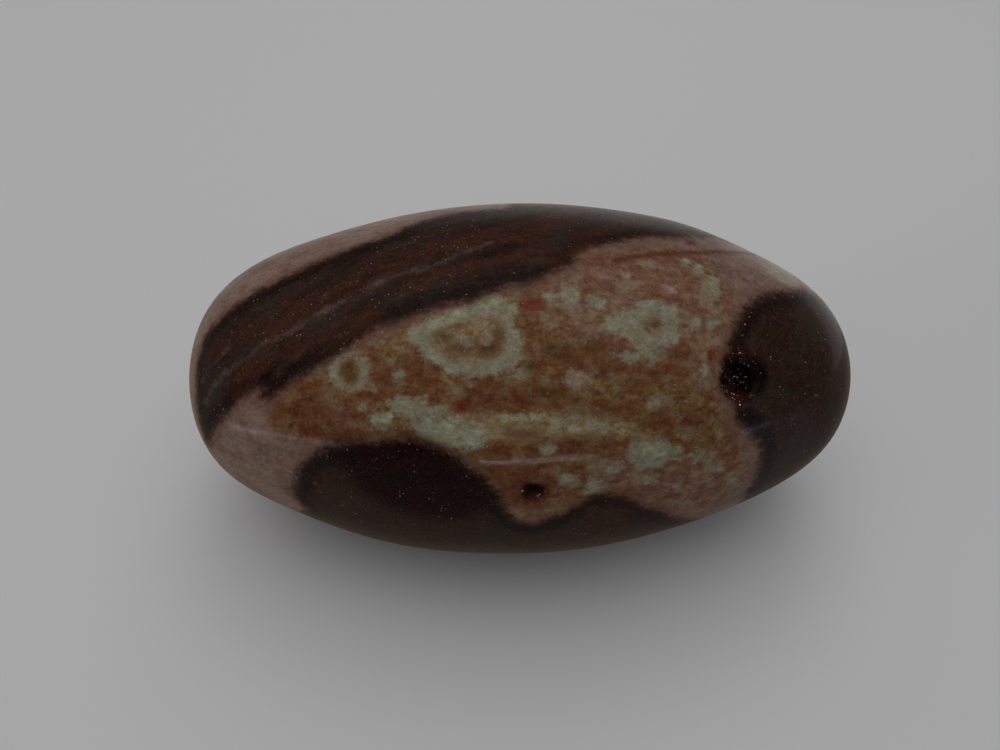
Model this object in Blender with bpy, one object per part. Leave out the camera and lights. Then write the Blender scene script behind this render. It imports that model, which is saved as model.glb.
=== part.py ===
"""A hand-rubbed river stone: a long, plump oval that lies on a small worn flat.

The stone is one solid. Its length runs along X, the side with the two pits faces -Y and upward,
and Z = 0 is the surface that it lies on. All sizes are in metres.

A spot on the skin is named by how far it lies along the length from the middle, and by its turn:
the angle in degrees round the length, 0 facing -Y and 90 on top.
"""

import math
from dataclasses import dataclass

import bmesh
import bpy
from mathutils import Matrix, Vector

MM = 0.001

# The whole stone: a round-sectioned oval.
LENGTH = 75.0 * MM
GIRTH_RADIUS = 20.1 * MM
FLAT_DEPTH = 0.4 * MM

# The rubbed ends are blunter than an ellipse, the right flank is leaner and its tip rides up.
BLUNT_POWER = 6
LEFT_BLUNTNESS = 0.38
RIGHT_BLUNTNESS = 0.38
RIGHT_LEANNESS = 0.17
RIGHT_TIP_RISE = 0.73 * MM

# Mesh fineness: the skin, then halved edges towards each pit.
SKIN_SUBDIVISIONS = 5
PIT_HALVINGS = 3
HALVING_STEP = 0.9 * MM
NEAR_POINTS = 0.02 * MM
SMOOTH_BELOW = math.radians(35)

# Average of the brown bands and the tan ground, rubbed to a satin.
STONE_COLOUR = (0.13, 0.075, 0.055, 1.0)
STONE_ROUGHNESS = 0.3


@dataclass(frozen=True)
class Swell:
    """A broad, faint rise of the skin, or a hollow where the height is negative."""

    along: float
    turn: float
    height: float
    reach: float


@dataclass(frozen=True)
class Pit:
    """A small cavity that the tumbling left open, with a rounded lip and steep walls."""

    along: float
    turn: float
    lip_radius: float
    floor_radius: float
    depth: float


SWELLS = (
    Swell(along=-14 * MM, turn=-27, height=0.32 * MM, reach=9 * MM),
    Swell(along=16 * MM, turn=-27, height=-0.24 * MM, reach=9 * MM),
    Swell(along=-27 * MM, turn=-27, height=-0.08 * MM, reach=6 * MM),
    Swell(along=19 * MM, turn=131, height=0.40 * MM, reach=7 * MM),
    Swell(along=30 * MM, turn=131, height=0.18 * MM, reach=6 * MM),
    Swell(along=-28 * MM, turn=131, height=0.18 * MM, reach=6 * MM),
    Swell(along=-8 * MM, turn=200, height=0.30 * MM, reach=11 * MM),
    Swell(along=14 * MM, turn=225, height=-0.25 * MM, reach=10 * MM),
)

PITS = (
    Pit(along=21.4 * MM, turn=52, lip_radius=2.75 * MM, floor_radius=1.2 * MM, depth=2.5 * MM),
    Pit(along=1.05 * MM, turn=18, lip_radius=1.45 * MM, floor_radius=0.45 * MM, depth=1.1 * MM),
)


def direction_to(along, turn):
    """Unit vector, in the round ball that the oval is stretched from, towards a spot on the skin."""
    share = along / (LENGTH / 2)
    ring = math.sqrt(1 - share * share)
    angle = math.radians(turn)
    return Vector((share, -ring * math.cos(angle), ring * math.sin(angle)))


def plain_oval(direction):
    """Point of the oval without its swells, for a unit vector of the ball."""
    share = direction.x
    if share < 0:
        fullness = 1 + LEFT_BLUNTNESS * share**BLUNT_POWER
    else:
        fullness = 1 + RIGHT_BLUNTNESS * share**BLUNT_POWER - RIGHT_LEANNESS * share**3
    rise = RIGHT_TIP_RISE * ((1 + share) / 2) ** 2
    return Vector(
        (
            share * LENGTH / 2,
            direction.y * GIRTH_RADIUS * fullness,
            direction.z * GIRTH_RADIUS * fullness + rise,
        )
    )


def outward(point):
    """Unit normal of the ellipsoid that the oval is close to."""
    half = LENGTH / 2
    return Vector(
        (point.x / half**2, point.y / GIRTH_RADIUS**2, point.z / GIRTH_RADIUS**2)
    ).normalized()


def swollen_oval(direction):
    """Point of the rubbed skin before the pits, for a unit vector of the ball."""
    start = plain_oval(direction)
    point = start.copy()
    for swell in SWELLS:
        middle = plain_oval(direction_to(swell.along, swell.turn))
        nearness = math.exp(-((start - middle).length_squared) / swell.reach**2)
        point += outward(start) * swell.height * nearness
    return point


def pit_depth(pit, distance):
    """How far the skin drops at a distance from the pit's middle: rounded at the lip and the floor."""
    if distance >= pit.lip_radius:
        return 0.0
    inward = (pit.lip_radius - distance) / (pit.lip_radius - pit.floor_radius)
    inward = min(inward, 1.0)
    return pit.depth * inward * inward * (3 - 2 * inward)


def stone_skin(direction):
    """Point of the finished skin, pits included, for a unit vector of the ball."""
    point = swollen_oval(direction)
    drop = Vector()
    for pit in PITS:
        middle = swollen_oval(direction_to(pit.along, pit.turn))
        drop -= outward(middle) * pit_depth(pit, (point - middle).length)
    return point + drop


def refine_near(ball, spot, reach):
    """Halves the edges of the ball whose two ends land within reach of a spot on the skin."""
    close = {v for v in ball.verts if (swollen_oval(v.co) - spot).length < reach}
    edges = [e for e in ball.edges if e.verts[0] in close and e.verts[1] in close]
    bmesh.ops.subdivide_edges(ball, edges=edges, cuts=1, use_grid_fill=True)
    bmesh.ops.triangulate(ball, faces=ball.faces[:])
    for vertex in ball.verts:
        vertex.co.normalize()


def fine_ball():
    """A ball of even triangles with its poles on X, finer where the pits will be."""
    ball = bmesh.new()
    bmesh.ops.create_icosphere(ball, subdivisions=SKIN_SUBDIVISIONS, radius=1.0)
    bmesh.ops.rotate(
        ball, verts=ball.verts, cent=Vector(), matrix=Matrix.Rotation(math.pi / 2, 3, "Y")
    )
    for pit in PITS:
        spot = swollen_oval(direction_to(pit.along, pit.turn))
        for halving in range(PIT_HALVINGS):
            spare = (PIT_HALVINGS - halving) * HALVING_STEP
            refine_near(ball, spot, pit.lip_radius + spare)
    return ball


def rub_flat(skin):
    """Cuts the underside level, a little above the lowest point, and closes the cut."""
    level = min(v.co.z for v in skin.verts) + FLAT_DEPTH
    cut = bmesh.ops.bisect_plane(
        skin,
        geom=skin.verts[:] + skin.edges[:] + skin.faces[:],
        dist=NEAR_POINTS,
        plane_co=(0, 0, level),
        plane_no=(0, 0, -1),
        clear_outer=True,
    )
    rim = [part for part in cut["geom_cut"] if isinstance(part, bmesh.types.BMEdge)]
    flat = bmesh.ops.contextual_create(skin, geom=rim)["faces"][0]
    for vertex in flat.verts:
        vertex.co.z = level


def set_down(skin):
    """Moves the stone so that the flat is at Z = 0, with the middle of its box over the origin."""
    xs = [v.co.x for v in skin.verts]
    ys = [v.co.y for v in skin.verts]
    shift = Vector(
        (
            -(min(xs) + max(xs)) / 2,
            -(min(ys) + max(ys)) / 2,
            -min(v.co.z for v in skin.verts),
        )
    )
    bmesh.ops.translate(skin, verts=skin.verts, vec=shift)


def stone_material():
    """Satin-rubbed jasper and sandstone, brown on average."""
    material = bpy.data.materials.new("rubbed_jasper")
    material.use_nodes = True
    surface = material.node_tree.nodes["Principled BSDF"]
    surface.inputs["Base Color"].default_value = STONE_COLOUR
    surface.inputs["Roughness"].default_value = STONE_ROUGHNESS
    surface.inputs["Metallic"].default_value = 0.0
    return material


def build_stone():
    """The stone, lying on its flat."""
    skin = fine_ball()
    for vertex in skin.verts:
        vertex.co = stone_skin(vertex.co)
    rub_flat(skin)
    set_down(skin)
    bmesh.ops.recalc_face_normals(skin, faces=skin.faces[:])
    mesh = bpy.data.meshes.new("stone")
    skin.to_mesh(mesh)
    skin.free()
    mesh.shade_smooth()
    mesh.set_sharp_from_angle(angle=SMOOTH_BELOW)
    mesh.materials.append(stone_material())
    stone = bpy.data.objects.new("stone", mesh)
    bpy.context.scene.collection.objects.link(stone)
    return stone


for leftover in list(bpy.data.objects):
    bpy.data.objects.remove(leftover)
build_stone()
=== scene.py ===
"""A hand-rubbed river stone on a pale studio floor.

The stone is one piece of jasper and sandstone, rubbed to a satin: a mauve-tan ground, a heart of
orange and red-brown, mint clots, and near-black maroon bands. It lies on its worn flat, with its
length along X and the side with the two pits facing -Y and upward.

Sizes are in millimetres, with the stone's middle at the origin, until a mesh is made. A spot on
the skin is named in one of two ways:
- seen: how far right and up of the stone's middle the camera sees it, on the plane through that
  middle that faces the camera;
- hidden: how far it lies along the length from the middle, and its turn, the angle in degrees
  round the length, 0 facing -Y and 90 on top.
A direction is a unit vector of the round ball that the stone is stretched from. A marking's depth
is how deep a spot of the skin lies inside it, below zero outside.
"""

import logging
import math
from collections.abc import Callable
from dataclasses import dataclass
from enum import Enum
from functools import partial

import bmesh
import bpy
import numpy as np
from mathutils import Matrix, Vector, noise


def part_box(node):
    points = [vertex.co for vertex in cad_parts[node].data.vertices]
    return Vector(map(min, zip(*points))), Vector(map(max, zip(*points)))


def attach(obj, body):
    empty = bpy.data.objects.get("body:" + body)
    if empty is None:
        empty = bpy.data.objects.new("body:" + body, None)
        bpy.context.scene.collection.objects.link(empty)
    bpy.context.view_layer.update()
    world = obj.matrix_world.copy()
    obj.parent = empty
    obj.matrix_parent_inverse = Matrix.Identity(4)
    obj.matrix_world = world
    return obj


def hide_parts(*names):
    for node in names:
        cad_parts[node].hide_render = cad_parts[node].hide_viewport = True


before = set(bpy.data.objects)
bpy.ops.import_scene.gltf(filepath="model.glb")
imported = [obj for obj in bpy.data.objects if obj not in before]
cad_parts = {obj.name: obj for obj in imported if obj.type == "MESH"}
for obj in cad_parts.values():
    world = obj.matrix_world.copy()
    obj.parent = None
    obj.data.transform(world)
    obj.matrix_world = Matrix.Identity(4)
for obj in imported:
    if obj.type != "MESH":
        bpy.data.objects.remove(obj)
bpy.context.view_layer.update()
LOG = logging.getLogger("stone_scene")

MM = 0.001

# Pairs of numbers that place spots on the skin, the call that adds a node to a material, and
# what can feed a node's input.
Spots = tuple[tuple[float, float], ...]
AddNode = Callable[..., bpy.types.Node]
Feed = bpy.types.Node | bpy.types.NodeSocket


def unit(vectors: np.ndarray) -> np.ndarray:
    """The vectors, each scaled to a length of one."""
    return vectors / np.linalg.norm(vectors, axis=-1, keepdims=True)


def ease(share: np.ndarray) -> np.ndarray:
    """Shares from 0 to 1 with a smooth start and end."""
    share = np.clip(share, 0.0, 1.0)
    return share * share * (3 - 2 * share)


def clotted(points: np.ndarray, size: float) -> np.ndarray:
    """Smooth noise from about -1 to 1 at each point, in clots of one size."""
    return np.array([noise.noise(Vector(point / size)) for point in points])


# The stone's form


@dataclass(frozen=True)
class Swell:
    """A broad, faint rise of the skin, or a hollow where the height is negative."""

    along: float
    turn: float
    height: float
    reach: float


@dataclass(frozen=True)
class Pit:
    """A small cavity that the tumbling left open: a funnel with a rounded lip."""

    along: float
    turn: float
    lip_radius: float
    floor_radius: float
    depth: float


SWELLS = (
    Swell(along=-14, turn=-27, height=0.32, reach=9),
    Swell(along=16, turn=-27, height=-0.24, reach=9),
    Swell(along=-27, turn=-27, height=-0.08, reach=6),
    Swell(along=19, turn=131, height=0.40, reach=7),
    Swell(along=30, turn=131, height=0.18, reach=6),
    Swell(along=-28, turn=131, height=0.18, reach=6),
    Swell(along=-8, turn=200, height=0.30, reach=11),
    Swell(along=14, turn=225, height=-0.25, reach=10),
)
LARGE_PIT = Pit(along=21.4, turn=52, lip_radius=2.75, floor_radius=0.8, depth=2.0)
SMALL_PIT = Pit(along=1.05, turn=18, lip_radius=1.45, floor_radius=0.35, depth=0.85)
PITS = (LARGE_PIT, SMALL_PIT)


@dataclass(frozen=True)
class OvalForm:
    """The rubbed oval, in the solid's own sizes."""

    length: float = 75.0
    girth_radius: float = 20.1
    flat_depth: float = 0.4
    bluntness: float = 0.38
    blunt_power: int = 6
    right_leanness: float = 0.17
    right_tip_rise: float = 0.73
    lip_wander: float = 0.5
    lip_clots: float = 1.2
    lip_rounding: float = 1.25
    wall_roughness: float = 0.45
    wall_clots: float = 0.55

    def direction_to(self, along: float, turn: float) -> np.ndarray:
        """Direction of the spot that lies so far along and so far round the stone.

        Args:
            along: millimetres along the length from the middle.
            turn: degrees round the length, 0 facing -Y and 90 on top.

        Returns:
            A unit vector of the ball.
        """
        share = along / (self.length / 2)
        ring = math.sqrt(1 - share * share)
        angle = math.radians(turn)
        return np.array((share, -ring * math.cos(angle), ring * math.sin(angle)))

    def girth_at(self, share: np.ndarray) -> np.ndarray:
        """Radius that the ball's ring is stretched to, for shares of the half length."""
        lean = np.where(share < 0, 0.0, self.right_leanness)
        return self.girth_radius * (1 + self.bluntness * share**self.blunt_power - lean * share**3)

    def rise_at(self, share: np.ndarray) -> np.ndarray:
        """How far the middle of the section lies above the axis."""
        return self.right_tip_rise * ((1 + share) / 2) ** 2

    def plain(self, directions: np.ndarray) -> np.ndarray:
        """Points of the oval without its swells and pits, one for each direction.

        Args:
            directions: unit vectors of the ball, one or rows of them.

        Returns:
            A point for each direction.
        """
        share = directions[..., 0]
        girth = self.girth_at(share)
        height = directions[..., 2] * girth + self.rise_at(share)
        return np.stack((share * self.length / 2, directions[..., 1] * girth, height), axis=-1)

    def ball_point(self, points: np.ndarray) -> np.ndarray:
        """Where points in and round the oval fall when it is shrunk back to the ball.

        Args:
            points: places in the stone's own millimetres.

        Returns:
            Places in the ball, whose length is below one inside the oval.
        """
        share = points[..., 0] / (self.length / 2)
        within = np.clip(share, -1.0, 1.0)
        girth = self.girth_at(within)
        raised = points[..., 2] - self.rise_at(within)
        return np.stack((share, points[..., 1] / girth, raised / girth), axis=-1)

    def outward(self, points: np.ndarray) -> np.ndarray:
        """Unit normals of the ellipsoid that the oval is close to."""
        radii = np.array((self.length / 2, self.girth_radius, self.girth_radius))
        return unit(points / radii**2)

    def swollen(self, directions: np.ndarray) -> np.ndarray:
        """Points of the rubbed skin before the pits.

        Args:
            directions: unit vectors of the ball.

        Returns:
            The oval's points, moved in or out by the swells near them.
        """
        start = self.plain(directions)
        height = np.zeros(start.shape[:-1])
        for swell in SWELLS:
            middle = self.plain(self.direction_to(swell.along, swell.turn))
            apart = np.linalg.norm(start - middle, axis=-1)
            height += swell.height * np.exp(-((apart / swell.reach) ** 2))
        return start + self.outward(start) * height[..., None]

    def pit_middle(self, pit: Pit) -> np.ndarray:
        """Where the skin would be over the middle of a pit."""
        return self.swollen(self.direction_to(pit.along, pit.turn))

    def pit_depth(self, points: np.ndarray, pit: Pit) -> np.ndarray:
        """How far points lie inside a pit's ragged lip.

        Args:
            points: points of the rubbed skin.
            pit: the pit.

        Returns:
            Distances from the lip, below zero outside it.
        """
        apart = np.linalg.norm(points - self.pit_middle(pit), axis=-1)
        depth = pit.lip_radius - apart
        close = depth > -self.lip_clots
        depth[close] += self.lip_wander * clotted(points[close], self.lip_clots)
        return depth

    def finished(self, directions: np.ndarray) -> np.ndarray:
        """Points of the finished skin.

        Args:
            directions: rows of unit vectors of the ball.

        Returns:
            The rubbed skin's points, sunk where a ragged and rough pit is.
        """
        points = self.swollen(directions)
        drop = np.zeros_like(points)
        for pit in PITS:
            depth = self.pit_depth(points, pit)
            fall = ease(depth / (pit.lip_radius - pit.floor_radius)) ** self.lip_rounding
            inside = fall > 0
            rough = np.zeros(len(points))
            rough[inside] = self.wall_roughness * clotted(points[inside], self.wall_clots)
            drop -= self.outward(self.pit_middle(pit)) * (fall * (pit.depth + rough))[:, None]
        return points + drop


# The line of sight


@dataclass(frozen=True)
class Sight:
    """Where the camera stands, and how it finds a spot on the skin.

    The camera stands close, a hand's breadth from the stone, so the near side looks larger. A
    spot is searched for in even steps along its line of sight, through a share of the distance
    each way of the facing plane, and then by halving the step in which the line enters.
    """

    elevation: float = 52.0
    distance: float = 101.6
    aim_left: float = 2.229
    aim_up: float = 0.487
    lens: float = 31.18
    sensor: float = 36.0
    search_share: float = 0.32
    search_steps: int = 400
    halvings: int = 24

    @property
    def right(self) -> np.ndarray:
        """Unit vector towards the picture's right."""
        return np.array((1.0, 0.0, 0.0))

    @property
    def up(self) -> np.ndarray:
        """Unit vector towards the picture's top."""
        angle = math.radians(self.elevation)
        return np.array((0.0, math.sin(angle), math.cos(angle)))

    @property
    def back(self) -> np.ndarray:
        """Unit vector from the stone towards the camera."""
        angle = math.radians(self.elevation)
        return np.array((0.0, -math.cos(angle), math.sin(angle)))

    @property
    def eye(self) -> np.ndarray:
        """Where the camera stands."""
        return self.back * self.distance - self.right * self.aim_left + self.up * self.aim_up

    def seen_of(self, points: np.ndarray) -> np.ndarray:
        """Where the camera sees points, on the facing plane.

        Args:
            points: rows of places in the stone's own millimetres.

        Returns:
            Rows of millimetres right and up of the stone's middle.
        """
        towards = points - self.eye
        depth = towards @ self.back
        on_plane = self.eye + towards * (-(self.eye @ self.back) / depth)[:, None]
        return np.stack((on_plane @ self.right, on_plane @ self.up), axis=-1)

    def directions_of(self, seen: np.ndarray, form: OvalForm) -> np.ndarray:
        """Directions of the spots that the camera sees at places on the facing plane.

        Args:
            seen: rows of millimetres right and up of the stone's middle.
            form: the oval that the lines of sight meet.

        Returns:
            Unit vectors of the ball, one for each row. A line that misses the oval gives the
            spot of the outline that it passes closest to.
        """
        on_plane = seen[:, :1] * self.right + seen[:, 1:] * self.up
        towards = self.eye - on_plane
        shares = np.linspace(self.search_share, -self.search_share, self.search_steps)
        places = on_plane[:, None] + towards[:, None] * shares[None, :, None]
        outside = np.linalg.norm(form.ball_point(places), axis=-1) - 1
        entered = outside < 0
        entry = np.maximum(entered.argmax(axis=1), 1)
        outer = shares[entry - 1]
        inner = shares[entry]
        for _ in range(self.halvings):
            middle = (outer + inner) / 2
            spots = form.ball_point(on_plane + towards * middle[:, None])
            within = np.linalg.norm(spots, axis=-1) < 1
            inner = np.where(within, middle, inner)
            outer = np.where(within, outer, middle)
        share = np.where(entered.any(axis=1), inner, shares[outside.argmin(axis=1)])
        return unit(form.ball_point(on_plane + towards * share[:, None]))


@dataclass(frozen=True)
class Chart:
    """A flat map of the whole ball, torn at one spot that no marking covers."""

    torn_at: np.ndarray

    def flat(self, directions: np.ndarray) -> np.ndarray:
        """Places on the map, as angle from its middle, laid out by bearing.

        Args:
            directions: rows of unit vectors.

        Returns:
            Rows of two map coordinates, in radians.
        """
        middle = -self.torn_at
        side = unit(np.cross(middle, (0.0, 0.0, 1.0)))
        over = np.cross(side, middle)
        angle = np.arccos(np.clip(directions @ middle, -1, 1))
        bearing = np.arctan2(directions @ over, directions @ side)
        return np.stack((angle * np.cos(bearing), angle * np.sin(bearing)), axis=-1)

    def inside(self, directions: np.ndarray, ring: np.ndarray) -> np.ndarray:
        """Which directions a closed ring goes round.

        Args:
            directions: unit vectors to test.
            ring: unit vectors in order round the ring.

        Returns:
            True for each direction that lies inside the ring.
        """
        places = self.flat(directions)
        corners = self.flat(ring)
        within = np.zeros(len(places), bool)
        for start, end in zip(corners, np.roll(corners, -1, axis=0)):
            if start[1] == end[1]:
                continue
            spans = (start[1] > places[:, 1]) != (end[1] > places[:, 1])
            slope = (end[0] - start[0]) / (end[1] - start[1])
            crossing = start[0] + (places[:, 1] - start[1]) * slope
            within ^= spans & (places[:, 0] < crossing)
        return within


# The markings


class Layer(Enum):
    """A kind of marking, named as the mesh names its depth."""

    HEART = "heart"
    ROSY = "rosy"
    OCHRE = "ochre"
    RUST = "rust"
    MINT = "mint"
    PALE = "pale"
    CORE = "core"
    UMBER = "umber"
    CRIMSON = "crimson"
    CREAM = "cream"
    DARK = "dark"
    CHERT = "chert"
    # Painted shade over the upper half of the lower left patch.
    SOOT = "soot"
    EMBER_STRIPE = "ember_stripe"
    ROSE_STREAK = "rose_streak"
    RED_LINE = "red_line"
    PIT = "pit"
    # The black in the pits: a dark stain with painted shade in each recess.
    HOLLOW = "hollow"


# What the mesh calls the distance from the line of the thin beds.
BEDDING = "bedding"

# Straight pieces from one point of a curve to the next, and points round a blob.
CURVE_STEPS = 5
BLOB_POINTS = 14

# Depths are kept up to this many millimetres inside or outside a marking.
DEEPEST = 6.0

# Keeps a path of no length from dividing by nothing.
TINY = 1e-12


def smooth_path(points: np.ndarray, closed: bool) -> np.ndarray:
    """A smooth curve through the points.

    Args:
        points: rows of places or directions that the curve passes through.
        closed: whether the curve comes back to its first point.

    Returns:
        Rows of points along the curve, the given ones among them.
    """
    if closed:
        around = np.vstack((points[-1:], points, points[:2]))
    else:
        around = np.vstack((2 * points[0] - points[1], points, 2 * points[-1] - points[-2]))
    rows = []
    for before, start, end, after in zip(around, around[1:], around[2:], around[3:]):
        slope = end - before
        bend = 2 * before - 5 * start + 4 * end - after
        twist = 3 * start - before - 3 * end + after
        for step in range(CURVE_STEPS):
            share = step / CURVE_STEPS
            rows.append(0.5 * (2 * start + slope * share + bend * share**2 + twist * share**3))
    if not closed:
        rows.append(points[-1])
    return np.array(rows)


def distance_to_path(places: np.ndarray, path: np.ndarray) -> np.ndarray:
    """Shortest distances to a path of straight pieces.

    Args:
        places: rows of places to measure from.
        path: rows of the path's corners in order.

    Returns:
        One distance for each place.
    """
    best = np.full(len(places), np.inf)
    for start, end in zip(path, path[1:]):
        run = end - start
        share = np.clip((places - start) @ run / max(run @ run, TINY), 0, 1)
        apart = np.linalg.norm(places - start - share[:, None] * run, axis=1)
        best = np.minimum(best, apart)
    return best


@dataclass(frozen=True)
class Patch:
    """A marking with a closed outline: its seen points in order, then its hidden ones."""

    seen: Spots = ()
    hidden: Spots = ()

    def depth(self, skin: "Skin") -> np.ndarray:
        """How deep each spot of the skin lies inside the outline.

        Args:
            skin: the skin that the marking lies on.

        Returns:
            One depth for each spot.
        """
        ring = unit(smooth_path(skin.directions_of(self.seen, self.hidden), closed=True))
        path = skin.form.plain(np.vstack((ring, ring[:1])))
        near, places = skin.near(path)
        apart = distance_to_path(places, path)
        within = skin.chart.inside(skin.directions[near], ring)
        return skin.spread(near, np.where(within, apart, -apart))


@dataclass(frozen=True)
class Blob:
    """A small oval marking on the seen side, its long radius turned by a slant in degrees."""

    right: float
    up: float
    long: float
    short: float
    slant: float = 0.0

    def depth(self, skin: "Skin") -> np.ndarray:
        """How deep each spot of the skin lies inside the oval.

        Args:
            skin: the skin that the marking lies on.

        Returns:
            One depth for each spot.
        """
        tilt = math.radians(self.slant)
        points = []
        for step in range(BLOB_POINTS):
            angle = math.tau * step / BLOB_POINTS
            forth = self.long * math.cos(angle)
            aside = self.short * math.sin(angle)
            right = self.right + forth * math.cos(tilt) - aside * math.sin(tilt)
            up = self.up + forth * math.sin(tilt) + aside * math.cos(tilt)
            points.append((right, up))
        return Patch(tuple(points)).depth(skin)


@dataclass(frozen=True)
class Streak:
    """A marking of one width along an open path."""

    width: float
    seen: Spots = ()
    hidden: Spots = ()

    def depth(self, skin: "Skin") -> np.ndarray:
        """How deep each spot of the skin lies inside the streak.

        Args:
            skin: the skin that the marking lies on.

        Returns:
            One depth for each spot.
        """
        path = unit(smooth_path(skin.directions_of(self.seen, self.hidden), closed=False))
        path = skin.form.plain(path)
        near, places = skin.near(path)
        return skin.spread(near, self.width / 2 - distance_to_path(places, path))


@dataclass(frozen=True)
class Spot:
    """A small round marking on the hidden side."""

    along: float
    turn: float
    radius: float

    def depth(self, skin: "Skin") -> np.ndarray:
        """How deep each spot of the skin lies inside the round."""
        middle = skin.form.plain(skin.form.direction_to(self.along, self.turn))
        return self.radius - np.linalg.norm(skin.places - middle, axis=1)


DARK_PATCHES = (
    # The broad band from the left end up over the top, and on down the back.
    Patch(
        seen=(
            (19, 16.6), (14.9, 16.7), (10.9, 16.2), (8.2, 15.6), (6.6, 14.8), (5.9, 13.7), (1.3, 11.5),
            (-0.9, 11.2), (-3.6, 10.3), (-5.3, 9.3), (-8.7, 8.8), (-14, 7), (-17.1, 6), (-20.3, 3.7),
            (-24.4, 1.2), (-27.4, -0.8), (-29.3, -2.2), (-30.3, -2.1), (-29.8, -1), (-31.4, -1.1),
            (-33.1, -2.4), (-34.1, -3.9), (-35.3, -4.9), (-36.4, -7.7), (-37.1, -6.2), (-37.7, -3.4),
            (-37.8, -0.7), (-37.3, 3.4), (-36.5, 5.4), (-33.8, 8), (-30.6, 10.2), (-26.6, 12.2),
            (-23, 13.9), (-14.4, 17), (-13.4, 17.7), (-7.7, 19.4), (-0.9, 20.2),
        ),
        hidden=(
            (-2, 148), (-7, 172), (-13, 190), (-12, 206), (-3, 214), (6, 205), (12, 188), (15, 168),
            (21, 150), (26, 138),
        ),
    ),
    # The lower left patch and the hump beside it, one with the dark underside.
    Patch(
        seen=(
            (-24.9, -15.5), (-26, -13.8), (-25.9, -12.2), (-25.2, -10.2), (-23.9, -9.3), (-22.9, -8.4),
            (-21.5, -8), (-17, -7.8), (-11.5, -7.8), (-9, -9), (-7.3, -10.1), (-5.8, -11.1),
            (-4, -12.1), (-2.6, -13.7), (-0.9, -16.4), (1.3, -17.2), (3.5, -16.6), (7.6, -14.7),
            (9.3, -13.8), (12.2, -14), (14.6, -15.3), (16.9, -15.9), (18.3, -16.5),
        ),
        hidden=(
            (22, -31), (27, -35), (26, -60), (17, -92), (6, -118), (-7, -122), (-17, -104), (-25, -78),
            (-27, -50),
        ),
    ),
    # The cap over the right end, from the large pit round the back and underside.
    Patch(
        seen=(
            (35.2, 9.6), (33.7, 10.1), (31, 10), (28.9, 9.5), (27.2, 8.6), (26.3, 7.4), (25.6, 6),
            (25, 4.6), (24.9, 3.2), (25.3, 0), (25.7, -4), (26.9, -5.7), (28.5, -7.6), (28.6, -9.3),
            (28.3, -10.9), (27.7, -12.3), (26.9, -13.4),
        ),
        hidden=((24, -48), (21, -80), (25, -110), (31, -140), (33, -170), (34, 160), (35, 132)),
    ),
)

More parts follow.
